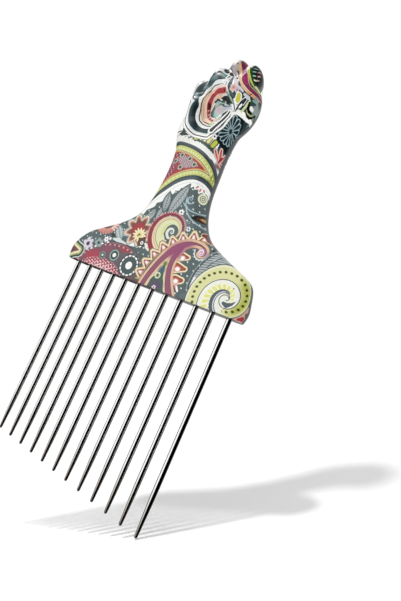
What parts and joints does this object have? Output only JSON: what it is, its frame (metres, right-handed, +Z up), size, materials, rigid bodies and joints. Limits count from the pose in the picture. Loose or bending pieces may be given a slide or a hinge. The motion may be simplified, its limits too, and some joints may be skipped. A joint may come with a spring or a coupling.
{
  "type": "afro pick",
  "caption": "Afro pick: a moulded handle that ends in a closed fist, with a patterned film, over a row of round steel tines that lift and part curly hair.",
  "frame": {"origin": "middle of the handle's bottom face, on the plane of the tines' axes", "axes": "+X along the row of tines to the index finger's side, +Z up the handle to the fist, -Y out of the palm side"},
  "size_m": [0.076, 0.0184, 0.1512],
  "materials": {
    "handle_film": "moulded plastic under a printed paisley film, semi-gloss",
    "tine_steel": "polished steel"
  },
  "bodies": {
    "root": {"handle": "handle_film", "tine_01": "tine_steel", "tine_02": "tine_steel", "tine_03": "tine_steel", "tine_04": "tine_steel", "tine_05": "tine_steel", "tine_06": "tine_steel", "tine_07": "tine_steel", "tine_08": "tine_steel", "tine_09": "tine_steel", "tine_10": "tine_steel", "tine_11": "tine_steel", "tine_12": "tine_steel"}
  },
  "joints": []
}
